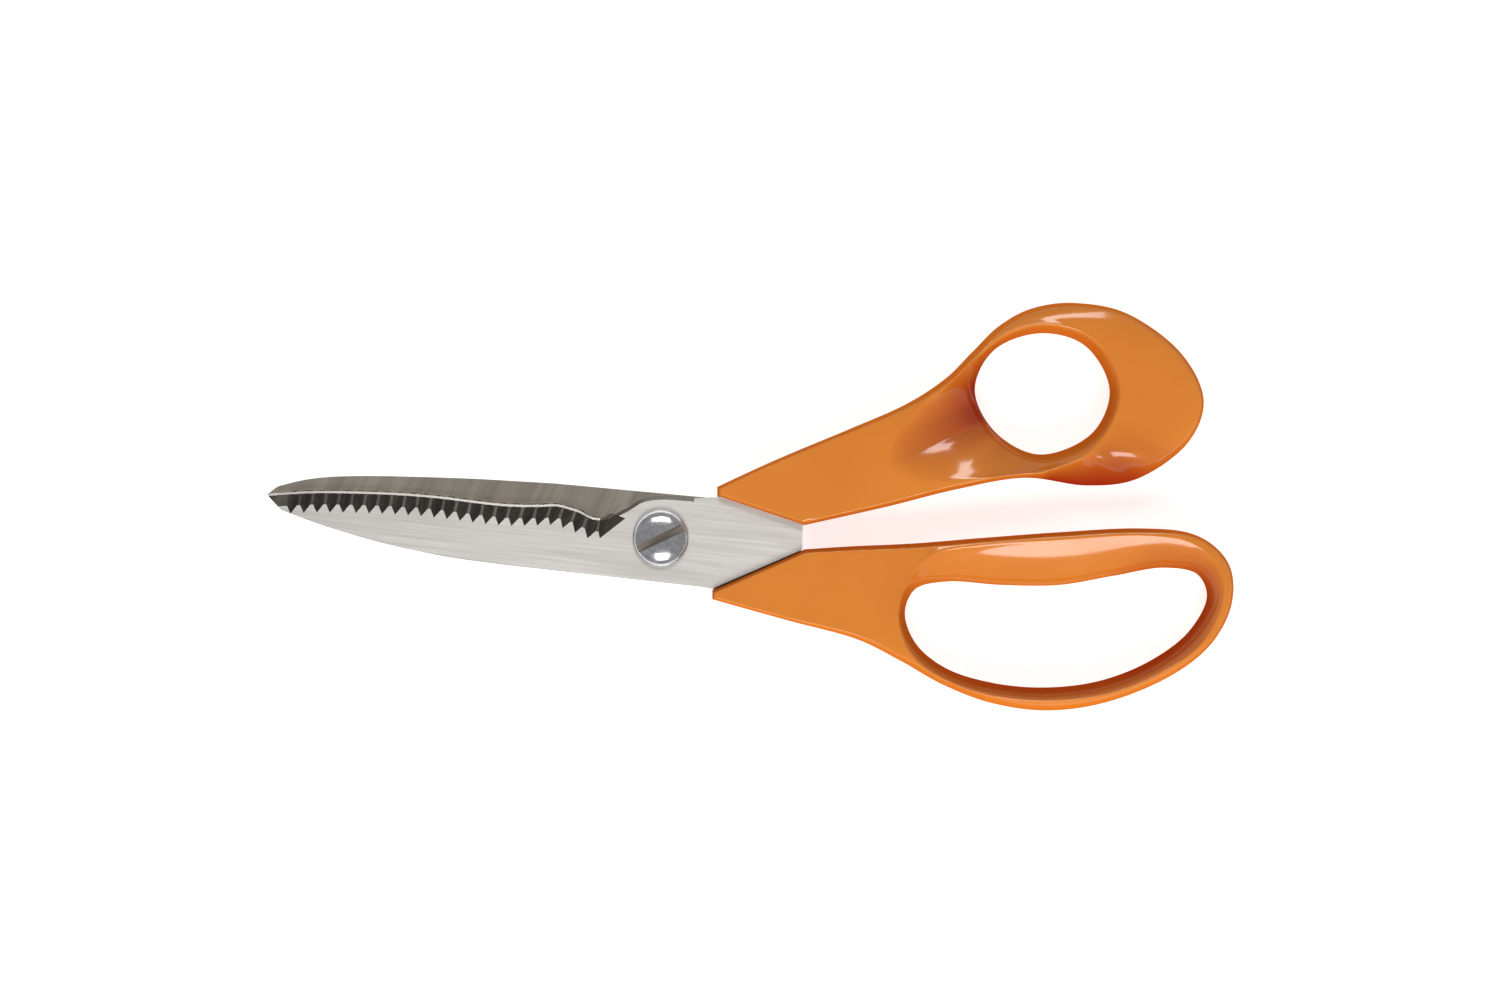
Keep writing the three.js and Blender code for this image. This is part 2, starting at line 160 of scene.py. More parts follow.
def ground_steel(name, turn, light, dark, roughness, grain):
    """Steel with fine parallel grinding marks along an angle in the blade's plane."""
    n = Nodes(name)
    streaks = n.noise(n.stretched(turn, MARKS), 1.0, 4.0, 0.7)
    broad = n.noise(n.stretched(turn, MARK_PATCHES), 1.0, 2.0)
    both = n.math("MULTIPLY_ADD", streaks, broad, 0.12)
    tone = n.ramp(both, [(0.2, dark), (0.55, light)])
    rough = n.spread(streaks, roughness - 0.07, roughness + 0.09)
    across = turn + math.pi / 2
    tangent = n.add("ShaderNodeCombineXYZ", {0: math.cos(across), 1: math.sin(across), 2: 0.0})
    return n.finish(
        Base_Color=tone, Metallic=1.0, Roughness=rough, Anisotropic=0.6,
        Tangent=tangent.outputs[0], Normal=n.bumped(streaks, grain, 0.00004))


def outer_satin():
    """The light faces that look away from the other blade."""
    light = colour(244, 240, 235)
    dark = colour(216, 212, 206)
    return ground_steel("outer_satin_steel", BLADE_TURN, light, dark, 0.38, 0.25)


def inner_ground():
    """The sliding faces: warmer, with deeper marks across the blade."""
    light = colour(214, 205, 190)
    dark = colour(176, 167, 153)
    return ground_steel("inner_ground_steel", CROSS_TURN, light, dark, 0.42, 0.5)


def fluted_steel_painted_shade():
    """The fluted bevel: steel with marks roughly along the flutes, its colour darkened as painted shade
    for the flanks.
    """
    # painted shade: a steel colour far darker than the other faces, for the shade the flute flanks fall
    # in
    light = colour(104, 98, 92)
    dark = colour(62, 59, 55)
    return ground_steel("fluted_steel_painted_shade", CROSS_TURN + BLADE_TURN, light, dark, 0.30, 0.3)


def edge_steel():
    """The bright strip along the cutting edge."""
    light = colour(178, 174, 169)
    dark = colour(144, 141, 136)
    return ground_steel("edge_strip_steel", BLADE_TURN, light, dark, 0.34, 0.15)


def polished_steel():
    """The screw and its nut: bright, with faint turning marks and handling haze."""
    n = Nodes("polished_steel")
    haze = n.noise(n.place, 900, 4.0)
    marks = n.noise(n.stretched(0.4, (300, 6000, 300)), 1.0, 2.0)
    tone = n.ramp(haze, [(0.3, colour(196, 197, 202)), (0.7, colour(226, 226, 228))])
    return n.finish(
        Base_Color=tone, Metallic=1.0, Roughness=n.spread(haze, 0.10, 0.22),
        Normal=n.bumped(marks, 0.06, 0.00003))


def slot_steel():
    """The milled floor of the screw's slot."""
    light = colour(160, 151, 141)
    dark = colour(104, 98, 92)
    return ground_steel("slot_steel", SLOT_TURN, light, dark, 0.45, 0.4)


PAINTED_SHADE_ATTRIBUTE = "painted_shade"  # mesh attribute: painted shade, how much darker red the plastic is made in a hollow or on a flank turned from the light


def orange_plastic():
    """Glossy moulded plastic: a faint flow mottle, orange-peel gloss and handling marks.

    Its orange turns a darker red, as painted shade, where the painted_shade attribute says so and on
    steep faces. Steep faces seen at a grazing angle lose their gloss, so that no rim turns white.
    """
    n = Nodes("orange_plastic")
    mottle = n.noise(n.place, 60, 3.0)
    peel = n.noise(n.place, 700, 2.0)
    rub = n.noise(n.stretched(0.5, (900, 5200, 900)), 1.0, 5.0, 0.65)
    even = n.ramp(mottle, [(0.3, colour(206, 119, 36)), (0.7, colour(210, 124, 40))])
    # painted shade: where the mesh's painted_shade attribute is high the orange becomes dark red (142,
    # 24, 14)
    hollow = n.add("ShaderNodeAttribute", attribute_name=PAINTED_SHADE_ATTRIBUTE).outputs["Fac"]
    with_painted_shade = n.mixed(hollow, even, colour(142, 24, 14))
    normal = n.add("ShaderNodeNewGeometry").outputs["Normal"]
    upright = n.add("ShaderNodeSeparateXYZ", {0: normal}).outputs["Z"]
    level_share = n.math("ABSOLUTE", upright)
    # painted shade: steep faces take up to 0.4 of a darker red (172, 58, 14), for the shade on walls
    # that turn from the light
    share = n.ramp(level_share, [(0.15, STEEP_SHADE_MOST), (0.92, BLACK)])
    tone = n.mixed(share, with_painted_shade, colour(172, 58, 14))
    facing = n.add("ShaderNodeLayerWeight").outputs["Facing"]
    grazing = n.ramp(facing, [(0.18, BLACK), (0.5, WHITE)])
    steep = n.ramp(level_share, [(0.5, WHITE), (0.88, BLACK)])
    rim = n.math("MULTIPLY", grazing, steep)
    gloss = n.spread(rim, 0.5, 0.0)
    coat = n.spread(rim, 0.25, 0.0)
    return n.finish(
        Base_Color=tone, Roughness=n.spread(rub, 0.08, 0.18), IOR=1.49,
        Specular_IOR_Level=gloss, Coat_Weight=coat, Coat_Roughness=0.05,
        Normal=n.bumped(peel, 0.04, 0.00005))


def nylon():
    """The disc between the blades: matt, off-white and slightly grainy."""
    n = Nodes("nylon")
    grain = n.noise(n.place, 2500, 4.0)
    tone = n.ramp(grain, [(0.3, colour(222, 217, 205)), (0.7, colour(236, 232, 222))])
    return n.finish(
        Base_Color=tone, Roughness=n.spread(grain, 0.42, 0.58),
        Normal=n.bumped(grain, 0.2, 0.00003))


def floor_paint():
    """Nearly white, luminous, and clear from below so that the underside can be seen."""
    n = Nodes("pale_floor")
    grain = n.noise(n.place, 140, 5.0)
    tone = n.ramp(grain, [(0.3, colour(196, 196, 196)), (0.7, colour(202, 202, 202))])
    n.finish(Base_Color=tone, Roughness=0.75, Emission_Color=WHITE, Emission_Strength=0.75)
    from_below = n.add("ShaderNodeNewGeometry").outputs["Backfacing"]
    clear = n.add("ShaderNodeBsdfTransparent").outputs[0]
    surface = n.add("ShaderNodeMixShader", {0: from_below, 1: n.shader.outputs[0], 2: clear})
    n.tree.links.new(surface.outputs[0], n.tree.nodes["Material Output"].inputs["Surface"])
    return n.material


MATERIALS = {
    "outer": outer_satin(),
    "inner": inner_ground(),
    "flute": fluted_steel_painted_shade(),
    "strip": edge_steel(),
    "polished": polished_steel(),
    "slot": slot_steel(),
    "orange": orange_plastic(),
    "nylon": nylon(),
}


# ---- mesh helpers ----


def piece(name, mesh, material_names):
    """An object for a fresh mesh, with its materials in the given order."""
    made = bpy.data.objects.new(name, mesh)
    bpy.context.scene.collection.objects.link(made)
    for key in material_names:
        mesh.materials.append(MATERIALS[key])
    return made


def stands_for(made, node, body):
    """Has a piece take a CAD node's place and move with its body."""
    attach(made, body)
    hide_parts(node)


def apply_modifiers(made):
    """Bakes a piece's modifiers into its mesh."""
    depsgraph = bpy.context.evaluated_depsgraph_get()
    mesh = bpy.data.meshes.new_from_object(made.evaluated_get(depsgraph))
    made.modifiers.clear()
    made.data = mesh


# ---- blades ----

# upright part of a face's normal, from 1 on a level face to 0 on a wall
FLAT = 0.999
STRIP_LEAN = 0.9
WALL_LEAN = 0.05

STRIP_TOP = 2.2  # height in mm that the polished strip stays below
BLADE_SHARP = math.radians(14)  # smaller turns between faces are shaded as one surface
BLADE_MERGE = math.radians(0.3)  # faces closer in direction than this become one
WELD = 0.002  # distance in mm below which corners become one
OUTER, INNER, FLUTE, STRIP = range(4)  # the finishes, in the order of the blade's materials


def blade_zone(face, outward):
    """Which finish a blade face has. outward is +1 on the front blade and -1 on the back one."""
    up = face.normal.z * outward
    height = (face.calc_center_median().z - PIVOT[2]) / MM * outward
    if up > FLAT:
        return OUTER
    if up > STRIP_LEAN and height < STRIP_TOP:
        return STRIP
    # faces leaning between the strip and the walls get the darkened fluted steel, which is painted
    # shade
    if up > WALL_LEAN:
        return FLUTE
    return INNER if up < -WALL_LEAN else OUTER


def fine_blade(name, node, body, outward):
    """A copy of the CAD blade with flat faces merged and a finish for each kind of face."""
    work = bmesh.new()
    work.from_mesh(frame["nodes"][node].data)
    bmesh.ops.remove_doubles(work, verts=work.verts, dist=WELD * MM)
    bmesh.ops.dissolve_limit(work, angle_limit=BLADE_MERGE, verts=work.verts, edges=work.edges)
    for face in work.faces:
        face.material_index = blade_zone(face, outward)
        face.smooth = abs(face.normal.z) < WALL_LEAN
    mesh = bpy.data.meshes.new(name)
    work.to_mesh(mesh)
    work.free()
    mesh.attributes.remove(mesh.attributes["custom_normal"])
    made = piece(name, mesh, ["outer", "inner", "flute", "strip"])
    mesh.set_sharp_from_angle(angle=BLADE_SHARP)
    stands_for(made, node, body)


# ---- handles ----
#
# A handle is a ring of cross-sections, each from a point of the outer outline to the nearest point
# of the loop's hole, over the top and back along the underside. All in mm about the pivot.
#
# *_FRONT is the straight front end of an outline, and *_RIM the crease round the hollow.

THUMB_FRONT = [(33.9, 3.0), (13.4, 9.9), (13.4, 12.2)]
THUMB_OUTLINE = [
    (13.4, 12.2), (27.3, 18.6), (44.5, 25.8), (58, 31.7), (67.5, 37.8), (74.1, 44.3), (80.5, 50.5),
    (88.5, 54.7), (98.7, 55.9), (111, 53.3), (123.3, 44.3), (129, 32.8), (124.9, 22.1), (113.4, 14.1),
    (101.1, 12.5), (86.4, 14.3), (70, 11.5), (53.6, 7.4), (33.9, 3.0),
]
THUMB_HOLE = [
    (74.7, 35.2), (79.2, 44.6), (90.5, 48.7), (101, 45.7), (106.8, 35.2), (102.6, 25), (90.1, 19.9),
    (79.6, 25.2),
]
THUMB_RIM = [
    (55.7, 24.5), (61, 30.7), (66.7, 35.2), (72.6, 40.7), (77.6, 44.8), (83.1, 48.3), (88.6, 50.1),
    (94, 49.8), (100.6, 47.4), (106.5, 42), (108.6, 35.2), (107.6, 29.5), (105, 24.2), (101, 20),
    (95.9, 17.3), (86.8, 14.9), (78, 14.2), (68, 13.6), (59.4, 14.2), (54.3, 17.8),
]
FINGER_FRONT = [(12.2, -14.6), (12.2, -12.4), (34.2, -2.7)]
FINGER_OUTLINE = [
    (34.2, -2.7), (45, -2.0), (60, -1.3), (76.1, 0), (95, 1.4), (113.7, 2.3), (127.1, 0.8), (135, -5.9),
    (135.8, -15.9), (130.5, -25.8), (120.4, -33.4), (106.2, -39.1), (92, -41.1), (78.6, -39.3),
    (67, -34.9), (56.9, -29.2), (46, -23.9), (30, -19.6), (12.2, -14.6),
]
FINGER_HOLE = [
    (58.1, -17.8), (60.6, -12.2), (68, -10.4), (81, -11.2), (95, -11.2), (108, -9), (120, -7.1),
    (127.8, -8.7), (130.1, -13.8), (126, -22), (117, -29), (105, -33.9), (92, -35.6), (79, -34.5),
    (67.7, -30.9), (60.7, -25.1),
]
FINGER_RIM = [
    (56.4, -17.8), (58.8, -9.5), (65.2, -3.6), (76, -1.5), (95, -0.1), (113.7, 0.9), (125.5, -0.8),
    (131.8, -6), (133.4, -13.4), (128.6, -24.4), (118.8, -31.6), (106, -36.7), (92, -38.4), (78, -37.1),
    (66.2, -33.1), (58.6, -26.5),
]

FRONT_STATIONS = 24  # sections along each straight of the front end
LOOP_STATIONS = 800
ACROSS = 72  # steps across the top of a section
END_CROWDING = 0.62  # how strongly the steps crowd towards a section's two ends

# the finer rings that distances are measured to
FINE_FRONT_STATIONS = 200
FINE_LOOP_STATIONS = 1600
FINE_RIM_STEPS = 40


def hermite(start, end, start_slope, end_slope, t):
    """Points of a cubic span at the shares t."""
    t = t[:, None]
    return ((2 * t**3 - 3 * t**2 + 1) * start + (t**3 - 2 * t**2 + t) * start_slope
            + (3 * t**2 - 2 * t**3) * end + (t**3 - t**2) * end_slope)


def open_spline(points, steps=40):
    """A uniform Catmull-Rom curve through the points."""
    p = np.array(points, float)
    p = np.vstack([p[0], p, p[-1]])
    t = np.linspace(0, 1, steps, endpoint=False)
    spans = [hermite(p[i], p[i + 1], (p[i + 1] - p[i - 1]) / 2, (p[i + 2] - p[i]) / 2, t)
             for i in range(1, len(p) - 2)]
    return np.vstack([*spans, p[-1:]])


def closed_spline(points, steps=60):
    """A centripetal Catmull-Rom ring through the points."""
    p = np.array(points, float)
    t = np.linspace(0, 1, steps, endpoint=False)
    spans = []
    for i in range(len(p)):
        a, b, c, d = (p[(i + k) % len(p)] for k in (-1, 0, 1, 2))
        before, here, after = (math.sqrt(np.linalg.norm(q - r)) for q, r in ((b, a), (c, b), (d, c)))
        leave = (b - a) / before - (c - a) / (before + here) + (c - b) / here
        arrive = (c - b) / here - (d - b) / (here + after) + (d - c) / after
        spans.append(hermite(b, c, leave * here, arrive * here, t))
    return np.vstack(spans)


def spaced(line, count):
    """Points at equal distances along a fine polyline, the last left out."""
    length = np.concatenate([[0], np.cumsum(np.linalg.norm(np.diff(line, axis=0), axis=1))])
    wanted = np.linspace(0, length[-1], count, endpoint=False)
    return np.column_stack([np.interp(wanted, length, line[:, k]) for k in (0, 1)])


def outer_ring(shape, front_stations, loop_stations):
    """A handle's whole outline as a ring of points."""
    corners = np.array(shape.front, float)
    straights = [spaced(corners[k:k + 2], front_stations) for k in range(len(corners) - 1)]
    return np.vstack([*straights, spaced(open_spline(shape.outline), loop_stations)])


def distances(points, ring):
    """Distance from each point to a ring of closely spaced points, and the nearest point's index."""
    squared = (points[:, 0, None] - ring[:, 0])**2 + (points[:, 1, None] - ring[:, 1])**2
    nearest = squared.argmin(axis=1)
    return np.sqrt(squared[np.arange(len(points)), nearest]), nearest


def inside(points, ring):
    """Which points lie inside a ring."""
    x, y = points[:, 0, None], points[:, 1, None]
    x0, y0 = ring.T
    x1, y1 = np.roll(ring, -1, axis=0).T
    spans = (y0 > y) != (y1 > y)
    rise = np.where(y1 == y0, 1, y1 - y0)
    return (spans & (x < x0 + (x1 - x0) * (y - y0) / rise)).sum(axis=1) % 2 == 1


def smoothstep(x, low, high):
    """0 up to low, 1 from high on, smooth in between."""
    t = np.clip((x - low) / (high - low), 0, 1)
    return t * t * (3 - 2 * t)


def roundness(distance, radius):
    """Quarter-round: 0 on the outline, 1 from the rounding radius inwards."""
    return np.sqrt(1 - (1 - np.clip(distance / radius, 0, 1)) ** 2)


def around(points, centre, table):
    """The value columns of an (angle, value, ...) table, looked up by direction from a centre."""
    angle = np.degrees(np.arctan2(points[:, 1] - centre[1], points[:, 0] - centre[0])) % 360
    rows = sorted(table)
    angles = [row[0] for row in rows]
    angles = [angles[-1] - 360, *angles, angles[0] + 360]
    columns = []
    for k in range(1, len(rows[0])):
        values = [row[k] for row in rows]
        values = [values[-1], *values, values[0]]
        index = np.clip(np.searchsorted(angles, angle) - 1, 0, len(angles) - 2)
        low = np.take(angles, index)
        high = np.take(angles, index + 1)
        share = smoothstep(angle, low, high)
        columns.append(np.take(values, index) * (1 - share) + np.take(values, index + 1) * share)
    return columns


class Handle:
    """What gives one handle its shape, in mm.

    The rim is the crease round the hollow that leads into the hole. The dish table shapes the fall
    from the rim to the hole and the outer_edge table the fall from the rim to the outline.
    """

    def __init__(self, node, front, outline, rim, hole, centre, dish, outer_edge, under_round):
        self.bottom, self.loop_top = level(node, 0), level(node, 1)
        self.front, self.outline, self.rim, self.hole = front, outline, rim, hole
        self.centre, self.dish = centre, dish
        self.outer_edge, self.under_round = outer_edge, under_round


SHANK_TOP = 6.2
SHANK_BOTTOM = -6.0
LOOP_BLEND = (25, 70)  # where, along X, the shank's top turns into the loop's
UNDERSIDE_BLEND = (15, 42)
CRISP_ROUNDING = 0.9  # radius of the shank's edges
HOLE_ROUNDING = 2.2
LIP_HEIGHT = 0.28  # how far the crease stands up
LIP_WIDTH = 0.9
PAINTED_SHADE_POWER = 0.6  # below 1, so that the painted shade starts close to the crease


def handle_heights(shape, points, outer_gap, rim_gap, hole_gap, in_dish):
    """Top and underside heights of a handle over plan points, and the top's painted shade."""
    x = points[:, 0]
    loop = smoothstep(x, *LOOP_BLEND)
    top = SHANK_TOP + (shape.loop_top - SHANK_TOP) * loop
    bottom = SHANK_BOTTOM + (shape.bottom - SHANK_BOTTOM) * smoothstep(x, *UNDERSIDE_BLEND)
    middle = (top + bottom) / 2
    depth, power, inner_painted_shade, crease = around(points, shape.centre, shape.dish)
    soft, fall, fall_power, outer_painted_shade = around(points, shape.centre, shape.outer_edge)
    outer_radius = CRISP_ROUNDING + (soft - CRISP_ROUNDING) * loop
    into = np.where(in_dish, rim_gap / (rim_gap + hole_gap), 0)
    outwards = np.where(in_dish, 0, rim_gap / (rim_gap + outer_gap))
    lip = LIP_HEIGHT * np.exp(-(rim_gap / LIP_WIDTH)**2) * crease
    dished = top + lip - depth * into**power - loop * fall * outwards**fall_power
    # painted shade: darker red inside the dish from the rim and on the fall to the outline
    painted_shade = inner_painted_shade * into**PAINTED_SHADE_POWER + outer_painted_shade * outwards**PAINTED_SHADE_POWER
    over_round = roundness(outer_gap, outer_radius) * roundness(hole_gap, HOLE_ROUNDING)
    under_radius = CRISP_ROUNDING + (shape.under_round - CRISP_ROUNDING) * loop
    under_round = roundness(outer_gap, under_radius) * roundness(hole_gap, shape.under_round)
    over = middle + (dished - middle) * over_round
    under = middle + (bottom - middle) * under_round
    return over, under, np.clip(painted_shade, 0, 1)


def handle_rings(shape):
    """Rings of points from the outline over the top to the hole and back below, and their painted
    shade.
    """
    outer = outer_ring(shape, FRONT_STATIONS, LOOP_STATIONS)
    fine_outer = outer_ring(shape, FINE_FRONT_STATIONS, FINE_LOOP_STATIONS)
    fine_hole = closed_spline(shape.hole)
    fine_rim = closed_spline(shape.rim, FINE_RIM_STEPS)
    _, index = distances(outer, fine_hole)
    inner = fine_hole[index]
    even = np.linspace(0, 1, ACROSS + 1)
    crowded = even - END_CROWDING * np.sin(2 * np.pi * even) / (2 * np.pi)
    rings_over, rings_under, painted_shades = [], [], []
    for share in crowded:
        plan = outer * (1 - share) + inner * share
        outer_gap, _ = distances(plan, fine_outer)
        hole_gap, _ = distances(plan, fine_hole)
        rim_gap, _ = distances(plan, fine_rim)
        if share in (0.0, 1.0):
            outer_gap, hole_gap = np.zeros(len(plan)), np.zeros(len(plan))
        in_dish = inside(plan, fine_rim)
        over, under, painted_shade = handle_heights(shape, plan, outer_gap, rim_gap, hole_gap, in_dish)
        painted_shades.append(painted_shade)
        rings_over.append(np.column_stack([plan, over]))
        rings_under.append(np.column_stack([plan, under]))
    no_painted_shade = [np.zeros(len(outer))] * (ACROSS - 1)
    return np.stack([*rings_over, *rings_under[-2:0:-1]]), np.concatenate([*painted_shades, *no_painted_shade])


def handle_mesh(name, shape):
    """A handle's rings joined into one closed surface."""
    rings, painted_shade = handle_rings(shape)
    rows, columns = rings.shape[:2]
    corners = rings.reshape(-1, 3) * MM + PIVOT
    i, j = np.meshgrid(np.arange(rows), np.arange(columns), indexing="ij")
    row, next_row = i * columns, (i + 1) % rows * columns
    next_j = (j + 1) % columns
    quads = np.stack([row + j, row + next_j, next_row + next_j, next_row + j])
    mesh = bpy.data.meshes.new(name)
    mesh.from_pydata(corners.tolist(), [], quads.reshape(4, -1).T.tolist())
    mesh.polygons.foreach_set("use_smooth", [True] * len(mesh.polygons))
    # painted shade: stored on each corner, for the plastic to turn darker red
    mesh.attributes.new(PAINTED_SHADE_ATTRIBUTE, "FLOAT", "POINT").data.foreach_set("value", painted_shade)
    mesh.update()
    return mesh


# dish rows: angle, depth, power of the fall, painted shade, how crisp the rim is
# outer_edge rows: angle, rounding radius, then depth, power and painted shade of the fall


def thumb_shape():
    return Handle(
        "thumb_handle", THUMB_FRONT, THUMB_OUTLINE, THUMB_RIM, THUMB_HOLE, centre=(90.7, 34.3),
        dish=[(0, 0.8, 1.0, 0.0, 0.2), (60, 1.0, 1.0, 0.0, 0.8), (100, 1.8, 1.0, 0.1, 1.0),
              (141, 2.6, 0.9, 0.3, 1.0), (160, 4.2, 0.9, 0.6, 1.0), (178, 6.2, 0.9, 1.0, 1.0),
              (190, 7.2, 1.0, 1.0, 0.8), (200, 7.2, 1.3, 1.0, 0.0), (210, 7.0, 1.5, 0.6, 0.0),
              (225, 6.2, 1.2, 0.15, 0.3), (250, 4.6, 1.0, 0.0, 0.8), (270, 3.4, 1.0, 0.0, 1.0),
              (300, 1.8, 1.0, 0.0, 1.0), (325, 1.0, 1.0, 0.0, 0.6)],
        outer_edge=[(0, 1.8, 0.6, 3, 0.0), (45, 1.5, 1.8, 2.4, 0.0), (90, 1.5, 2.3, 2, 0.0),
                    (120, 1.5, 1.8, 2, 0.0), (160, 1.4, 1.0, 1.5, 0.0), (200, 1.2, 0.3, 2, 0.0),
                    (250, 1.0, 0.2, 2, 0.0), (266, 1.2, 0.8, 1.2, 0.3), (276, 1.5, 3.5, 0.8, 1.0),
                    (290, 2.0, 6.5, 0.9, 1.0), (302, 2.5, 7.5, 1.3, 1.0), (315, 2.5, 6.5, 2.4, 0.9),
                    (330, 2.2, 3.0, 4, 0.3), (345, 2.0, 1.0, 4, 0.0)],
        under_round=3.8)


def finger_shape():
    return Handle(
        "finger_handle", FINGER_FRONT, FINGER_OUTLINE, FINGER_RIM, FINGER_HOLE, centre=(94.0, -21.0),
        dish=[(0, 3.4, 1.1, 0.8, 0.0), (15, 3.6, 1.2, 0.7, 0.0), (32, 4.2, 1.4, 0.3, 0.2),
              (50, 4.8, 1.5, 0.0, 0.6), (90, 5.2, 1.5, 0.0, 0.8), (120, 5.2, 1.5, 0.0, 1.0),
              (148, 4.8, 1.3, 0.0, 1.0), (165, 3.6, 1.1, 0.1, 0.8), (176, 2.2, 1.0, 0.3, 0.6),
              (200, 1.8, 1.0, 0.6, 0.6), (230, 2.0, 1.0, 0.8, 0.8), (270, 2.0, 1.0, 0.8, 1.0),
              (310, 2.6, 1.0, 0.8, 0.6), (340, 3.2, 1.1, 0.9, 0.2)],
        outer_edge=[(0, 1.6, 1.0, 1.5, 0.0), (40, 1.0, 0.3, 1, 0.0), (120, 1.0, 0.2, 1, 0.0),
                    (160, 1.2, 0.3, 2, 0.0), (190, 1.6, 0.8, 2, 0.0), (230, 1.8, 1.6, 1.5, 0.0),
                    (270, 1.8, 2.0, 1.4, 0.0), (310, 1.8, 1.8, 1.5, 0.0), (340, 1.8, 1.4, 1.5, 0.0)],
        under_round=3.8)


def make_handle(name, node, shape, body):
    """One handle in orange plastic."""
    made = piece(name, handle_mesh(name, shape), ["orange"])
    stands_for(made, node, body)


# ---- pivot ----

DOME_STEPS = 24
TURN_STEPS = 128
HEAD_RADIUS = 6.6
HEAD_RIM = 0.9  # height of the head's upright rim
HEAD_CHAMFER = 0.25
HEAD_CLEARANCE = 0.05  # between the front blade and the head's underside
SHOULDER_RADIUS = 4.0
THREAD_RADIUS = 3.0
SHOULDER_END = 0.15  # where the shoulder gives way to the thinner thread
SLOT_LENGTH = 20.0
SLOT_WIDTH = 1.9
SLOT_DEPTH = 1.4
EDGE_BREAK = 0.12
NUT_RADIUS = 6.2
NUT_CHAMFER_START = 5.6
NUT_CHAMFER = 0.5
SCREW_END_RADIUS = 3.05  # the screw's end as seen in the nut's bore
SCREW_END_DEPTH = 0.55
MOUTH_RADIUS = 3.5
MOUTH_BEND = (3.3, 0.1)  # radius and depth of the bend in the bore's flared mouth
SCREW_SHARP = math.radians(30)  # sharper turns than this are kept as edges
NUT_SHARP = math.radians(25)


def turned_mesh(name, profile):
    """A closed lathe of (radius, z) points that start and end on the pivot axis."""
    work = bmesh.new()
    rings = []
    for radius, z in profile:
        if radius == 0:
            rings.append([work.verts.new((0, 0, z))] * TURN_STEPS)
            continue
        angles = [2 * math.pi * k / TURN_STEPS for k in range(TURN_STEPS)]
        around_axis = [(radius * math.cos(a), radius * math.sin(a), z) for a in angles]
        rings.append([work.verts.new(place) for place in around_axis])
    for low, high in zip(rings, rings[1:]):
        for k in range(TURN_STEPS):
            corners = [low[k], low[(k + 1) % TURN_STEPS], high[(k + 1) % TURN_STEPS], high[k]]
            work.faces.new(list(dict.fromkeys(corners)))
    bmesh.ops.recalc_face_normals(work, faces=work.faces)
    mesh = bpy.data.meshes.new(name)
    work.to_mesh(mesh)
    work.free()
    return mesh


def slot_cutter(top):
    """A bar along the slot, twice as high as the slot is deep and centred on the dome's top."""
    size = Matrix.Diagonal((SLOT_LENGTH, SLOT_WIDTH, 2 * SLOT_DEPTH, 1))
    place = Matrix.Translation((0, 0, top)) @ Matrix.Rotation(SLOT_TURN, 4, "Z") @ size
    work = bmesh.new()
    bmesh.ops.create_cube(work, size=1.0, matrix=place)
    for face in work.faces:
        face.material_index = 1
    mesh = bpy.data.meshes.new("slot_cut")
    work.to_mesh(mesh)
    work.free()
    return piece("slot_cut", mesh, ["polished", "slot"])


def make_screw():
    """The screw with its thread shank, shoulder, domed head and slot."""
    top = level("pivot_screw", 1)
    bottom = level("pivot_screw", 0)
    seat = level("front_blade", 1) + HEAD_CLEARANCE
    rim_top = seat + HEAD_RIM
    rise = top - rim_top
    dome = []
    for k in range(DOME_STEPS + 1):
        angle = math.pi / 2 * (1 - k / DOME_STEPS)
        dome.append((HEAD_RADIUS * math.sin(angle), rim_top + rise * math.cos(angle)))
    profile = [
        (0, bottom), (THREAD_RADIUS, bottom), (THREAD_RADIUS, SHOULDER_END),
        (SHOULDER_RADIUS, SHOULDER_END), (SHOULDER_RADIUS, seat),
        (HEAD_RADIUS - HEAD_CHAMFER, seat), (HEAD_RADIUS, seat + HEAD_CHAMFER), *dome,
    ]
    made = piece("pivot_screw_fine", turned_mesh("pivot_screw_fine", profile), ["polished", "slot"])
    cut = slot_cutter(top)
    boolean = made.modifiers.new("slot", "BOOLEAN")
    boolean.operation = "DIFFERENCE"
    boolean.object = cut
    boolean.solver = "EXACT"
    bevel = made.modifiers.new("edges", "BEVEL")
    bevel.width = EDGE_BREAK
    bevel.segments = 3
    bevel.angle_limit = SCREW_SHARP
    apply_modifiers(made)
    bpy.data.objects.remove(cut)
    made.data.transform(TO_FRAME)
    shade_by_angle(made, SCREW_SHARP)
    stands_for(made, "pivot_screw", BACK)


def shade_by_angle(made, angle):
    for polygon in made.data.polygons:
        polygon.use_smooth = True
    made.data.set_sharp_from_angle(angle=angle)


def make_nut():
    """A round nut with a chamfered rim and the screw's end sunk in its bore."""
    bottom = level("pivot_nut", 0)
    top = level("pivot_nut", 1)
    bend_radius, bend_depth = MOUTH_BEND
    profile = [
        (0, bottom + SCREW_END_DEPTH), (SCREW_END_RADIUS, bottom + SCREW_END_DEPTH),
        (bend_radius, bottom + bend_depth), (MOUTH_RADIUS, bottom), (NUT_CHAMFER_START, bottom),
        (NUT_RADIUS, bottom + NUT_CHAMFER), (NUT_RADIUS, top), (0, top),
    ]
    made = piece("pivot_nut_fine", turned_mesh("pivot_nut_fine", profile), ["polished"])
    made.data.transform(TO_FRAME)
    shade_by_angle(made, NUT_SHARP)
    stands_for(made, "pivot_nut", BACK)


# ---- the object ----

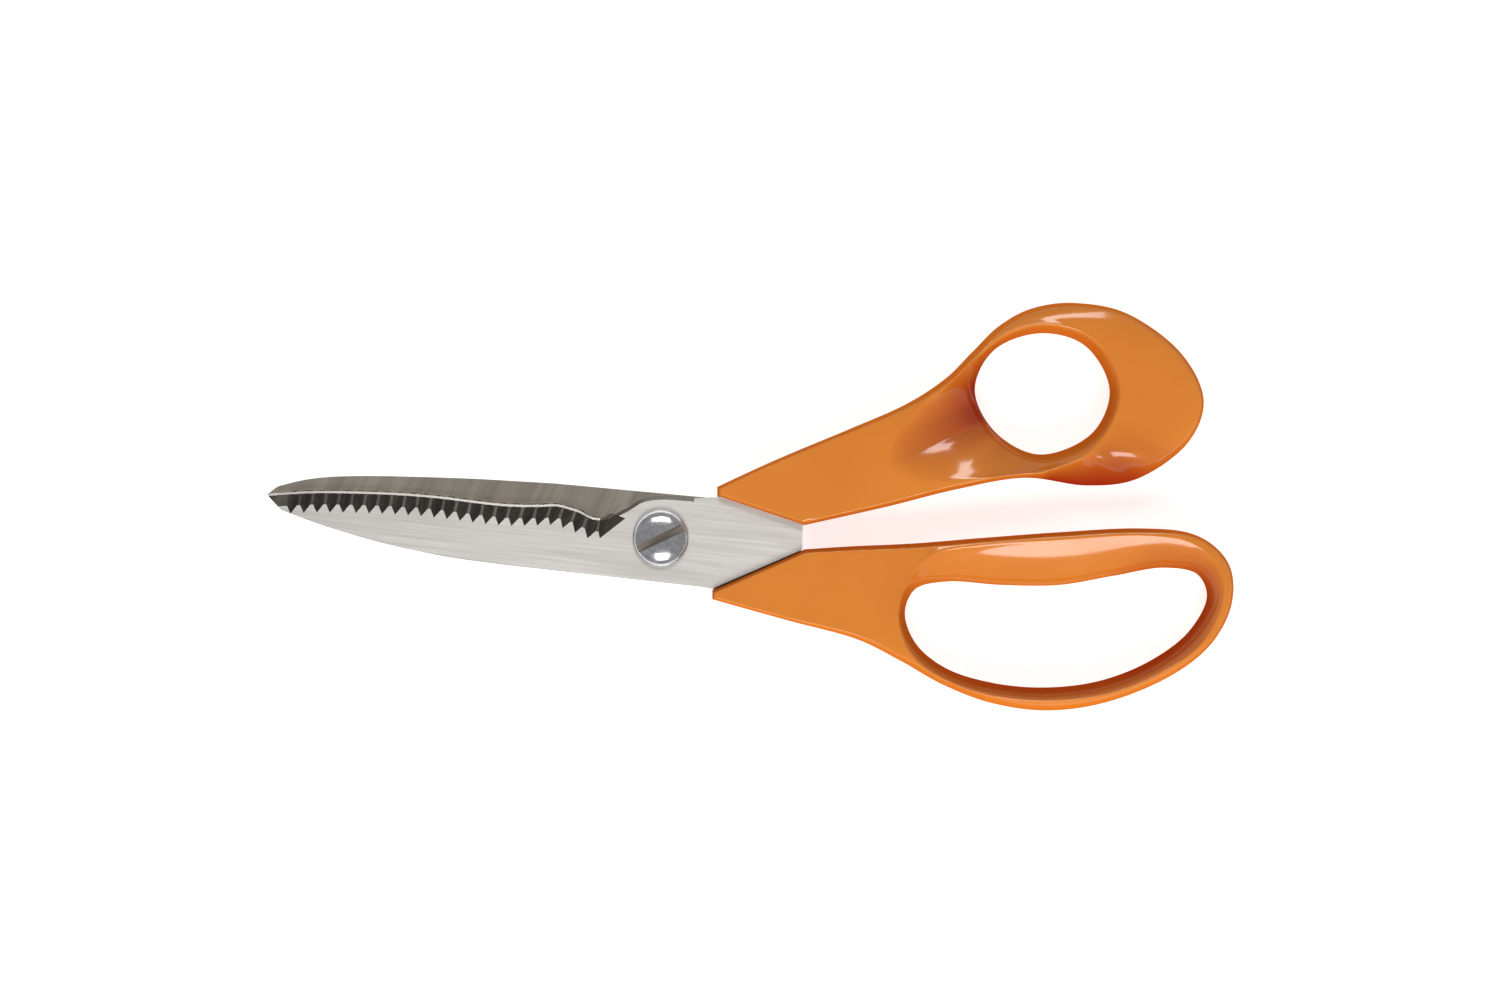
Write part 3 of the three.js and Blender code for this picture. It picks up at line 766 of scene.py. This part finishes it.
fine_blade("front_blade_fine", "front_blade", FRONT, 1)
fine_blade("back_blade_fine", "back_blade", BACK, -1)
make_handle("thumb_handle_fine", "thumb_handle", thumb_shape(), FRONT)
make_handle("finger_handle_fine", "finger_handle", finger_shape(), BACK)
make_screw()
make_nut()
frame["nodes"]["pivot_disc"].data.materials.clear()
frame["nodes"]["pivot_disc"].data.materials.append(MATERIALS["nylon"])


# ---- studio ----

FLOOR_HALF = 3.0
FLOOR_DROP = 0.0001  # keeps the floor clear of the faces that rest on it
FRAME_WIDTH = 0.3572  # what the camera sees across, on the sliding plane
LENS = 100.0
SENSOR = 36.0
CAMERA_OFFSET = (0.0212, 0.00905)  # from the pivot to the middle of the picture


def make_floor():
    mesh = bpy.data.meshes.new("floor")
    corners = [(-FLOOR_HALF, -FLOOR_HALF), (FLOOR_HALF, -FLOOR_HALF),
               (FLOOR_HALF, FLOOR_HALF), (-FLOOR_HALF, FLOOR_HALF)]
    mesh.from_pydata([(x, y, -FLOOR_DROP) for x, y in corners], [], [(0, 1, 2, 3)])
    floor = bpy.data.objects.new("floor", mesh)
    bpy.context.scene.collection.objects.link(floor)
    mesh.materials.append(floor_paint())


def make_light(name, place, size, power):
    """A softbox that faces the origin."""
    light = bpy.data.lights.new(name, "AREA")
    light.shape = "RECTANGLE"
    light.size, light.size_y = size
    light.energy = power
    made = bpy.data.objects.new(name, light)
    made.location = place
    made.rotation_euler = (-Vector(place)).to_track_quat("-Z", "Y").to_euler()
    bpy.context.scene.collection.objects.link(made)
    return made


def make_world():
    """A dim room above and a pale backdrop near the horizon."""
    world = bpy.data.worlds.new("studio")
    world.use_nodes = True
    tree = world.node_tree
    direction = tree.nodes.new("ShaderNodeTexCoord")
    split = tree.nodes.new("ShaderNodeSeparateXYZ")
    ramp = tree.nodes.new("ShaderNodeValToRGB")
    tree.links.new(direction.outputs["Generated"], split.inputs[0])
    tree.links.new(split.outputs["Z"], ramp.inputs["Fac"])
    tree.links.new(ramp.outputs["Color"], tree.nodes["Background"].inputs["Color"])
    for stop, (position, grey) in zip(ramp.color_ramp.elements, [(0.06, 0.85), (0.35, 0.32)]):
        stop.position = position
        stop.color = (grey, grey, grey, 1)
    bpy.context.scene.world = world


def make_camera():
    """Straight above, with the pivot left of and just below the middle of the picture."""
    data = bpy.data.cameras.new("camera")
    data.lens = LENS
    data.sensor_width = SENSOR
    made = bpy.data.objects.new("camera", data)
    distance = FRAME_WIDTH * LENS / SENSOR
    made.location = Vector(PIVOT) + Vector((*CAMERA_OFFSET, distance))
    bpy.context.scene.collection.objects.link(made)
    bpy.context.scene.camera = made


make_floor()
make_world()
make_light("key", place=(0.03, -0.95, 1.2), size=(0.6, 0.5), power=6.5)
make_light("fill", place=(0.0, 1.0, 1.3), size=(0.9, 0.3), power=6.5)
wash = make_light("wash", place=(0.0, -1.5, 1.4), size=(2.2, 1.2), power=30)
wash.visible_glossy = False  # it shows in no reflection
make_camera()
bpy.context.scene.view_settings.view_transform = "Standard"
